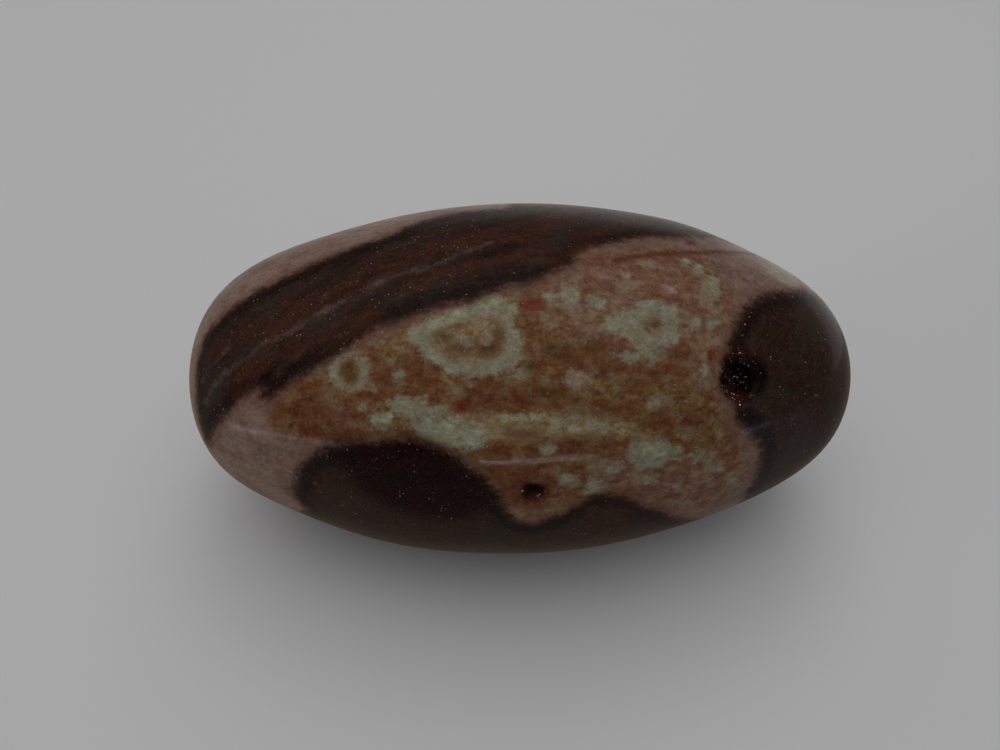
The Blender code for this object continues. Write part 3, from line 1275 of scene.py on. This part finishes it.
@dataclass(frozen=True)
class RubbedJasper:
    """Jasper and sandstone, hand-rubbed to a satin.

    The rock under the skin is nearly matt. The rubbing leaves a thin polish on it that mirrors
    only narrow, bright things, and a faint dustiness that pales the far edge. The sand grains
    and the quartz specks are as fine as real ones; part of each speck's brightness is a painted
    glint. A tint or the wear is how far it goes each way of the middle.
    """

    ior: float = 1.54
    roughness: float = 0.55
    wear: float = 0.1
    gloss_level: float = 0.02
    polish: float = 0.06
    polish_roughness: float = 0.09
    dust: float = 0.2
    dust_roughness: float = 0.3
    dust_colour: str = "E0BC94"
    relief: float = 0.012
    grain: float = 0.2
    grain_tint: tuple[float, float, float] = (0.24, 0.22, 0.24)
    grain_lift: float = 0.035
    crumb_tint: float = 0.16
    speck_spacing: float = 0.42
    speck_core: float = 0.028
    speck_rim: float = 0.098
    speck_clouds: tuple[float, float] = (0.38, 0.6)
    speck_colours: tuple[str, str] = ("B47858", "CFC4B4")

    def material(self) -> bpy.types.Material:
        """The finish as a material.

        Returns:
            The material.
        """
        made, add = new_finish("rubbed_jasper_and_sandstone")
        spot = add("TexCoord").outputs["Object"]
        place = add("VectorMath", {0: spot, "Scale": 1 / MM}, operation="SCALE")
        clots = self.textures(add, place)
        colour = self.mottled(add, clots, GROUND)
        for pigment in PIGMENTS:
            links = {
                "Factor": self.share_of(add, clots, pigment),
                "A": colour,
                "B": self.mottled(add, clots, pigment.mottle),
            }
            colour = add("Mix", links, data_type="RGBA")
        colour = self.grained(add, clots, place, colour)
        links = {
            "Value": clots[Texture.CLOT],
            **TEXTURE_RANGE,
            "To Min": self.roughness - self.wear,
            "To Max": self.roughness + self.wear,
        }
        worn = add("MapRange", links)
        crumbs = clots[Texture.CRUMB]
        relief = add("Bump", {"Height": crumbs, "Distance": self.relief * MM, "Strength": 1.0})
        links = {
            "Base Color": self.speckled(add, clots, place, colour),
            "Roughness": worn,
            "IOR": self.ior,
            "Specular IOR Level": self.gloss_level,
            "Coat Weight": self.polish,
            "Coat Roughness": self.polish_roughness,
            "Sheen Weight": self.dust,
            "Sheen Roughness": self.dust_roughness,
            "Sheen Tint": linear(self.dust_colour),
            "Normal": relief,
            "Coat Normal": relief,
        }
        add("OutputMaterial", {"Surface": add("BsdfPrincipled", links)})
        return made

    def textures(self, add: AddNode, place: Feed) -> Clots:
        """Adds every texture. The bedded one runs along X and away from the bedding's line.

        Args:
            add: adds a node to the material.
            place: places on the stone, in millimetres.

        Returns:
            Each texture's node.
        """
        bedding = add("Attribute", attribute_name=BEDDING).outputs["Fac"]
        along = add("SeparateXYZ", {0: place}).outputs["X"]
        flow = add("CombineXYZ", {0: along, 1: bedding, 2: 0.0})
        made = {}
        for texture in Texture:
            clotting = texture.value
            links = {
                "Vector": flow if texture is Texture.BEDDED else place,
                "Location": (clotting.start,) * 3,
                "Scale": (1 / clotting.stretch, 1.0, 1.0),
            }
            links = {
                "Vector": add("Mapping", links),
                "Scale": 1 / clotting.size,
                "Detail": clotting.detail,
                "Roughness": clotting.roughness,
            }
            made[texture] = add("TexNoise", links)
        return made

    def mottled(self, add: AddNode, clots: Clots, mottle: Mottle) -> Feed:
        """Adds a mix of colours and its flecks.

        Args:
            add: adds a node to the material.
            clots: each texture's node.
            mottle: the colours and flecks.

        Returns:
            What gives the colour.
        """
        colour = add("ValToRGB", {"Fac": clots[mottle.texture]})
        stops = colour.color_ramp.elements
        last = len(mottle.colours) - 1
        for index, hex_colour in enumerate(mottle.colours):
            position = 0.5 + (index / last - 0.5) * 2 * mottle.reach
            stop = stops[index] if index < 2 else stops.new(position)
            stop.position = position
            stop.color = linear(hex_colour)
        for fleck in mottle.flecks:
            links = {
                "Value": clots[fleck.texture],
                "From Min": fleck.above - fleck.soft,
                "From Max": fleck.above + fleck.soft,
                "To Max": fleck.strength,
            }
            shown = add("MapRange", links, interpolation_type="SMOOTHSTEP")
            links = {"Factor": shown, "A": colour, "B": linear(fleck.colour)}
            colour = add("Mix", links, data_type="RGBA")
        return colour

    def share_of(self, add: AddNode, clots: Clots, pigment: Pigment) -> Feed:
        """Adds how much of a pigment shows: 0 outside its marking, its strength inside.

        Args:
            add: adds a node to the material.
            clots: each texture's node.
            pigment: the pigment, whose edge says how it fades.

        Returns:
            What gives the share.
        """
        edge = pigment.edge
        depth = add("Attribute", attribute_name=pigment.layer.value).outputs["Fac"]
        links = {0: clots[edge.texture], 1: edge.fray, 2: depth}
        frayed = add("Math", links, operation="MULTIPLY_ADD")
        middle = edge.fray / 2 - edge.outset
        links = {
            "Value": frayed,
            "From Min": middle - edge.soft,
            "From Max": middle + edge.soft,
            "To Max": edge.strength,
        }
        shown = add("MapRange", links, interpolation_type="SMOOTHSTEP")
        if not edge.rim:
            return shown
        links = {
            "Value": frayed,
            "From Min": middle + edge.rim * 1.5,
            "From Max": middle + edge.rim * 0.5,
        }
        rimmed = add("MapRange", links, interpolation_type="SMOOTHSTEP")
        return add("Math", {0: shown, 1: rimmed}, operation="MULTIPLY")

    def grained(self, add: AddNode, clots: Clots, place: Feed, colour: Feed) -> Feed:
        """Adds the sand grains, each a little lighter, darker or warmer than the rest.

        Args:
            add: adds a node to the material.
            clots: each texture's node.
            place: places on the stone, in millimetres.
            colour: what gives the colour without the grains.

        Returns:
            What gives the grained colour.
        """
        links = {"Vector": place, "Scale": 1 / self.grain, "Detail": 1.0, "Roughness": 0.6}
        grains = add("TexNoise", links).outputs["Color"]
        links = {
            "Vector": grains,
            "From Min": (HOLLOWS,) * 3,
            "From Max": (PEAKS,) * 3,
            "To Min": tuple(1 - tint for tint in self.grain_tint),
            "To Max": tuple(1 + tint for tint in self.grain_tint),
        }
        tint = add("MapRange", links, data_type="FLOAT_VECTOR")
        links = {
            "Value": clots[Texture.CRUMB],
            **TEXTURE_RANGE,
            "To Min": 1 - self.crumb_tint,
            "To Max": 1 + self.crumb_tint,
        }
        crumbs = add("MapRange", links)
        tinted = add("VectorMath", {0: colour, 1: tint}, operation="MULTIPLY")
        crumbled = add("VectorMath", {0: tinted, "Scale": crumbs}, operation="SCALE")
        lift = self.grain_lift
        links = {0: grains, 1: (lift,) * 3, 2: (-lift / 2,) * 3}
        lifted = add("VectorMath", links, operation="MULTIPLY_ADD")
        return add("VectorMath", {0: crumbled, 1: lifted}, operation="ADD")

    def speckled(self, add: AddNode, clots: Clots, place: Feed, colour: Feed) -> Feed:
        """Adds pinpoint quartz specks, thicker in some clouds, each with its own brightness.

        They are light quartz grains, and part of their brightness is a painted glint.

        Args:
            add: adds a node to the material.
            clots: each texture's node.
            place: places on the stone, in millimetres.
            colour: what gives the colour without the specks.

        Returns:
            What gives the speckled colour.
        """
        cells = add("TexVoronoi", {"Vector": place, "Scale": 1 / self.speck_spacing})
        links = {
            "Value": cells.outputs["Distance"],
            "From Min": self.speck_rim / self.speck_spacing,
            "From Max": self.speck_core / self.speck_spacing,
        }
        share = add("MapRange", links)
        own = add("SeparateXYZ", {0: cells.outputs["Color"]}).outputs
        start, end = self.speck_clouds
        links = {"Value": clots[Texture.PEBBLE], "From Min": start, "From Max": end}
        for gate in (own["X"], own["Y"], add("MapRange", links)):
            share = add("Math", {0: share, 1: gate}, operation="MULTIPLY")
        # Light quartz grains, their brightness partly a painted glint.
        warm, pale = (linear(hex_colour) for hex_colour in self.speck_colours)
        quartz = add("Mix", {"Factor": own["Z"], "A": warm, "B": pale}, data_type="RGBA")
        return add("Mix", {"Factor": share, "A": colour, "B": quartz}, data_type="RGBA")


CLEARNESS = "clearness"


@dataclass(frozen=True)
class DruseQuartz:
    """Quartz points grown in the rock's hollows: some clear and bright, most stained smoky red."""

    clear_colour: str = "E9E4DC"
    smoky_colour: str = "1C0B08"
    ior: float = 1.54
    roughness: float = 0.25
    gloss_level: float = 0.15

    def material(self) -> bpy.types.Material:
        """The finish as a material.

        Returns:
            The material.
        """
        made, add = new_finish("druse_quartz")
        clear = add("Attribute", attribute_name=CLEARNESS).outputs["Fac"]
        smoky, pale = linear(self.smoky_colour), linear(self.clear_colour)
        links = {
            "Base Color": add("Mix", {"Factor": clear, "A": smoky, "B": pale}, data_type="RGBA"),
            "Roughness": self.roughness,
            "IOR": self.ior,
            "Specular IOR Level": self.gloss_level,
        }
        add("OutputMaterial", {"Surface": add("BsdfPrincipled", links)})
        return made


# The druse


# Bright crystals: right and up on the facing plane, and their radius.
GLINTS = (
    (27.2, 7.8, 0.13), (27.0, 7.3, 0.10), (26.5, 6.4, 0.13), (26.2, 5.1, 0.19), (25.7, 3.6, 0.10),
    (25.9, 3.1, 0.12), (25.9, 2.4, 0.10), (25.7, 1.2, 0.15), (25.2, 0.3, 0.12), (25.6, 0.2, 0.13),
    (26.6, 0.3, 0.10), (26.0, -0.4, 0.10), (24.7, -0.2, 0.11), (24.2, 0.3, 0.12),
    (24.5, 1.2, 0.09), (25.2, -1.8, 0.13), (25.0, -2.2, 0.11), (24.9, 2.1, 0.09),
    (26.9, 1.6, 0.09), (26.4, 1.8, 0.09), (25.9, -3.0, 0.15), (26.4, -4.2, 0.12),
    (29.5, 2.6, 0.09), (30.6, -0.9, 0.10), (2.4, -13.4, 0.15), (2.2, -13.7, 0.12),
)

# A crystal's shaft and its point: bottom and top radius, in its radius, and where each starts and
# ends along the crystal, in its length from the skin.
CRYSTAL_PARTS = ((1.0, 1.0, -0.6, 0.25), (1.0, 0.12, 0.25, 0.6))


def facing(
    surface: Callable[[np.ndarray], np.ndarray],
    directions: np.ndarray,
    sight: Sight,
    step: float,
) -> tuple[np.ndarray, np.ndarray]:
    """Points of a surface and how they face.

    Args:
        surface: gives the surface's points for directions.
        directions: rows of unit vectors of the ball.
        sight: the line of sight, whose upright is never along a direction.
        step: how far off a direction, in shares of the ball's radius, the slope is taken.

    Returns:
        The points, and their outward unit normals.
    """
    side = unit(np.cross(directions, sight.up))
    start = surface(directions)
    aside = surface(unit(directions + side * step)) - start
    above = surface(unit(directions + np.cross(side, directions) * step)) - start
    normal = unit(np.cross(aside, above))
    return start, normal * np.sign((normal * directions).sum(axis=1, keepdims=True))


@dataclass
class Druse:
    """Tiny six-sided quartz points, grown on the walls of the pits and along the cap's edge."""

    form: OvalForm
    sight: Sight
    seed: int = 11
    smoky_count: int = 120
    large_pit_share: float = 0.93
    pit_share: float = 0.9
    smallest: float = 0.06
    largest: float = 0.14
    smoky_clearness: float = 0.35
    glint_size: float = 0.66
    slimness: float = 2.2
    lean: float = 0.5
    tries: int = 12
    caution: float = 0.7
    normal_step: float = 0.002

    def __post_init__(self) -> None:
        """Starts the crystals' own random draws."""
        self.draws = np.random.default_rng(self.seed)

    def rooting(self, direction: np.ndarray) -> tuple[np.ndarray, np.ndarray]:
        """The finished skin's point and outward normal in one direction."""
        start, normal = facing(self.form.finished, direction[None], self.sight, self.normal_step)
        return start[0], normal[0]

    def direction_behind(self, right: float, up: float) -> np.ndarray:
        """The direction whose finished point, down in a pit too, is seen at a place.

        Args:
            right: millimetres right of the stone's middle, on the facing plane.
            up: millimetres up of it.

        Returns:
            A unit vector of the ball.
        """
        wanted = np.array(((right, up),))
        aimed = wanted.copy()
        for _ in range(self.tries):
            direction = self.sight.directions_of(aimed, self.form)
            missed = wanted - self.sight.seen_of(self.form.finished(direction))
            aimed += self.caution * missed
        return direction[0]

    def direction_in(self, pit: Pit) -> np.ndarray:
        """A direction drawn evenly from a pit.

        Args:
            pit: the pit.

        Returns:
            A unit vector of the ball.
        """
        middle = self.form.pit_middle(pit)
        out = self.form.outward(middle)
        side = unit(np.cross(out, (0.0, 0.0, 1.0)))
        angle = self.draws.uniform(0, math.tau)
        apart = pit.lip_radius * self.pit_share * math.sqrt(self.draws.random())
        around = side * math.cos(angle) + np.cross(out, side) * math.sin(angle)
        return unit(self.form.ball_point(middle + around * apart))

    def crystals(self) -> list[tuple[np.ndarray, float, float]]:
        """Each crystal's direction, radius and clearness, the glints first.

        Returns:
            One row for each crystal, in the order in which they grow.
        """
        drawn = []
        for right, up, radius in GLINTS:
            clear = self.draws.uniform(0.2, 0.95) ** 1.5
            drawn.append((self.direction_behind(right, up), radius * self.glint_size, clear))
        for _ in range(self.smoky_count):
            large = self.draws.random() < self.large_pit_share
            direction = self.direction_in(LARGE_PIT if large else SMALL_PIT)
            radius = self.draws.uniform(self.smallest, self.largest)
            drawn.append((direction, radius, self.draws.random() ** 8 * self.smoky_clearness))
        return drawn

    def build(self, shift: np.ndarray) -> bpy.types.Object:
        """All the crystals as one object.

        Args:
            shift: the stone's own shift from its middle to the frame.

        Returns:
            The object.
        """
        druse = bmesh.new()
        clearness = []
        for direction, radius, clear in self.crystals():
            start, normal = self.rooting(direction)
            axis = unit(normal + self.lean * self.draws.uniform(-1, 1, 3))
            turned = Vector(axis).to_track_quat("Z", "Y").to_matrix().to_4x4()
            rooted = Matrix.Translation(Vector((start + shift) * MM)) @ turned
            length = radius * self.slimness
            for bottom, top, near, far in CRYSTAL_PARTS:
                made = bmesh.ops.create_cone(
                    druse,
                    cap_ends=True,
                    segments=6,
                    radius1=radius * bottom * MM,
                    radius2=radius * top * MM,
                    depth=(far - near) * length * MM,
                    matrix=rooted @ Matrix.Translation((0, 0, (near + far) / 2 * length * MM)),
                )
                clearness += [clear] * len(made["verts"])
        mesh = bpy.data.meshes.new("quartz_druse")
        druse.to_mesh(mesh)
        druse.free()
        attribute = mesh.attributes.new(CLEARNESS, "FLOAT", "POINT")
        attribute.data.foreach_set("value", np.array(clearness, np.float32))
        mesh.materials.append(DruseQuartz().material())
        return placed(mesh)


# The studio


# A ray that falls less than this share of its length never meets the floor.
LEAST_DROP = 1e-6


def hang_ribbon(edges: list[np.ndarray], glow: bpy.types.Material) -> None:
    """Hangs a ribbon of light that shows only where the polished skin mirrors it.

    Args:
        edges: the ribbon's two long edges, as rows of points in metres.
        glow: the finish that lights it and names it.
    """
    count = len(edges[0])
    mesh = bpy.data.meshes.new(glow.name)
    faces = [(i, i + 1, i + 1 + count, i + count) for i in range(count - 1)]
    mesh.from_pydata(np.vstack(edges).tolist(), [], faces)
    mesh.materials.append(glow)
    ribbon = placed(mesh)
    ribbon.visible_camera = False
    ribbon.visible_diffuse = False
    ribbon.visible_shadow = False


@dataclass(frozen=True)
class MirroredStrip:
    """A slim light, seen only as the line that the polished skin mirrors.

    It hangs where the line of sight to each seen spot leads after the skin mirrors it.
    """

    name: str
    colour: str
    strength: float
    width: float
    seen: Spots
    reach: float = 110.0
    clearance: float = 4.0
    normal_step: float = 0.001

    def build(self, form: OvalForm, sight: Sight, shift: np.ndarray) -> None:
        """Makes the light, a ribbon between the mirrored rays of the line's two edges.

        Args:
            form: the stone's form.
            sight: the line of sight.
            shift: the stone's own shift from its middle to the frame.
        """
        glow, add = new_finish(self.name)
        lamp = add("Emission", {"Color": linear(self.colour), "Strength": self.strength})
        add("OutputMaterial", {"Surface": lamp})
        line = smooth_path(np.array(self.seen), closed=False)
        edges = []
        for aside in (-self.width / 2, self.width / 2):
            directions = sight.directions_of(line + (0.0, aside), form)
            edges.append((self.mirrored(directions, form, sight) + shift) * MM)
        hang_ribbon(edges, glow)

    def mirrored(self, directions: np.ndarray, form: OvalForm, sight: Sight) -> np.ndarray:
        """Where the mirrored rays are, at their reach or just above the floor before it.

        Args:
            directions: rows of the directions that mirror the light.
            form: the stone's form.
            sight: the line of sight.

        Returns:
            Rows of places, one for each direction.
        """
        start, normal = facing(form.swollen, directions, sight, self.normal_step)
        ray = unit(start - sight.eye)
        ray -= 2 * (ray * normal).sum(axis=1, keepdims=True) * normal
        floor = form.flat_depth - form.girth_radius + self.clearance
        drop = np.minimum(ray[:, 2], -LEAST_DROP)
        reach = np.minimum((floor - start[:, 2]) / drop, self.reach)
        return start + ray * reach[:, None]


STRIPS = (
    MirroredStrip(
        "left_strip", "C4CCE4", strength=16.0, width=0.4,
        seen=((-33.8, -5.4), (-31, -6.1), (-27.5, -6.7), (-23.6, -7.4), (-21, -7.8)),
    ),
    MirroredStrip(
        "middle_strip", "EEEEF6", strength=85.0, width=0.09,
        seen=((-4.4, -9.7), (-1.9, -9.8), (1.3, -9.6), (4.8, -9.3), (8.6, -9)),
    ),
    MirroredStrip(
        "lip_strip", "A8B4D8", strength=6.0, width=0.6,
        seen=((25.2, -2.8), (26.4, -3.1), (27.7, -2.7)),
    ),
    MirroredStrip(
        "right_glow", "B0B0B4", strength=1.8, width=6.0,
        seen=((27, -9.2), (30, -8), (33.5, -5.6)),
    ),
    MirroredStrip(
        "right_strip", "B2BCD8", strength=12.0, width=1.0,
        seen=((26.4, -6.4), (29.5, -5.6), (33, -4.5)),
    ),
)

# The sweep behind the stone: back from its middle, and height, in millimetres.
SWEEP_PROFILE = ((34, 1), (150, 1), (200, 12), (225, 40), (235, 80))


@dataclass(frozen=True)
class Studio:
    """A plain pale floor, soft light from overhead, and the camera.

    The light is a broad dome: brightest straight above, half as bright a third of the way down,
    and dim from there to the horizon. It gives the floor a soft shadow all round the stone.
    """

    sight: Sight
    floor_size: float = 6.0
    floor_colour: str = "E7E7E8"
    floor_roughness: float = 0.9
    dome_strength: float = 1.32
    dome_edge: float = 0.3
    dome_fall: float = 3.0
    horizon_strength: float = 0.002
    panel_size: float = 130.0
    back_panel: tuple[float, float, float] = (20.0, 130.0, 250.0)
    back_panel_watts: float = 0.055
    left_panel: tuple[float, float, float] = (-420.0, -120.0, 80.0)
    left_panel_watts: float = 0.22
    sweep_reach: tuple[float, float] = (-300.0, 700.0)
    sweep_fade: tuple[float, float] = (-160.0, 120.0)
    sweep_strength: float = 2.0
    sweep_left_share: float = 0.25

    def build(self, form: OvalForm, shift: np.ndarray) -> None:
        """Makes the floor, the lights and the camera round the stone's middle.

        Args:
            form: the stone's form.
            shift: the stone's own shift from its middle to the frame.
        """
        self.lay_floor()
        self.light_dome()
        self.hang_panel("back_panel", self.back_panel, self.back_panel_watts)
        self.hang_panel("left_panel", self.left_panel, self.left_panel_watts)
        self.stand_sweep()
        for strip in STRIPS:
            strip.build(form, self.sight, shift)
        self.stand_camera(shift)
        bpy.context.scene.view_settings.view_transform = "Standard"

    def lay_floor(self) -> None:
        """A wide level sheet of pale matt card."""
        mesh = bpy.data.meshes.new("studio_floor")
        sheet = bmesh.new()
        bmesh.ops.create_grid(sheet, x_segments=8, y_segments=8, size=self.floor_size / 2)
        sheet.to_mesh(mesh)
        sheet.free()
        card, add = new_finish("pale_matt_card")
        links = {
            "Base Color": linear(self.floor_colour),
            "Roughness": self.floor_roughness,
            "Specular IOR Level": 0.0,
        }
        add("OutputMaterial", {"Surface": add("BsdfPrincipled", links)})
        mesh.materials.append(card)
        placed(mesh)

    def light_dome(self) -> None:
        """Soft light from overhead, through a sky that dims towards the horizon."""
        world = bpy.data.worlds.new("studio_dome")
        world.use_nodes = True
        world.node_tree.nodes.clear()
        add = partial(add_node, world.node_tree)
        towards = add("TexCoord").outputs["Generated"]
        height = add("SeparateXYZ", {0: towards}).outputs["Z"]
        climb = add("MapRange", {"Value": height, "From Min": self.dome_edge, "From Max": 1.0})
        fall = add("Math", {0: climb, 1: self.dome_fall}, operation="POWER")
        links = {0: fall, 1: self.dome_strength, 2: self.horizon_strength}
        glow = add("Math", links, operation="MULTIPLY_ADD")
        sky = add("Background", {"Color": linear("FFFFFF"), "Strength": glow})
        add("OutputWorld", {"Surface": sky})
        bpy.context.scene.world = world

    def hang_panel(self, name: str, spot: tuple[float, float, float], watts: float) -> None:
        """A small soft panel that faces the stone and isn't mirrored in it.

        Args:
            name: the panel's name.
            spot: its place in millimetres.
            watts: its power.
        """
        data = bpy.data.lights.new(name, "AREA")
        data.shape = "SQUARE"
        data.size = self.panel_size * MM
        data.energy = watts
        panel = placed(data)
        place = Vector(spot) * MM
        turned = place.to_track_quat("Z", "Y").to_matrix().to_4x4()
        panel.matrix_world = Matrix.Translation(place) @ turned
        panel.visible_glossy = False
        panel.visible_camera = False

    def stand_sweep(self) -> None:
        """A pale sweep behind the stone, seen only as the haze on its far edge."""
        glow, add = new_finish("pale_sweep")
        spot = add("TexCoord").outputs["Object"]
        place = add("SeparateXYZ", {0: spot}).outputs
        links = {
            "Value": place["X"],
            "From Min": self.sweep_fade[0] * MM,
            "From Max": self.sweep_fade[1] * MM,
            "To Min": self.sweep_left_share,
        }
        aside = add("MapRange", links, interpolation_type="SMOOTHSTEP")
        links = {
            "Value": place["Z"],
            "From Min": SWEEP_PROFILE[-1][1] * MM,
            "From Max": SWEEP_PROFILE[1][1] * MM,
            "To Max": self.sweep_strength,
        }
        fade = add("MapRange", links, interpolation_type="SMOOTHSTEP")
        both = add("Math", {0: fade, 1: aside}, operation="MULTIPLY")
        add("OutputMaterial", {"Surface": add("Emission", {"Strength": both})})
        ends = reversed(self.sweep_reach)
        hang_ribbon([np.array([(end, *row) for row in SWEEP_PROFILE]) * MM for end in ends], glow)

    def stand_camera(self, shift: np.ndarray) -> None:
        """The camera, at the photograph's place and angle.

        Args:
            shift: the stone's own shift from its middle to the frame.
        """
        data = bpy.data.cameras.new("camera")
        data.lens = self.sight.lens
        data.sensor_width = self.sight.sensor
        data.clip_start = 0.01
        data.clip_end = 20.0
        camera = placed(data)
        turned = Matrix((self.sight.right, self.sight.up, self.sight.back)).transposed().to_4x4()
        camera.matrix_world = Matrix.Translation(Vector((self.sight.eye + shift) * MM)) @ turned
        bpy.context.scene.camera = camera


def main() -> None:
    """Builds the stone, its druse and the studio in order."""
    form = OvalForm()
    sight = Sight()
    stone, shift = Skin(form, sight).build()
    druse = Druse(form, sight).build(shift)
    for piece in (stone, druse):
        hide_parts("stone")
        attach(piece, "root")
        LOG.info("%s: %d faces", piece.name, len(piece.data.polygons))
    Studio(sight).build(form, shift)
    LOG.info("studio: floor, dome, two panels, sweep, %d strips and the camera", len(STRIPS))


if __name__ == "__main__":
    logging.basicConfig(level=logging.INFO, format="%(message)s")
    main()
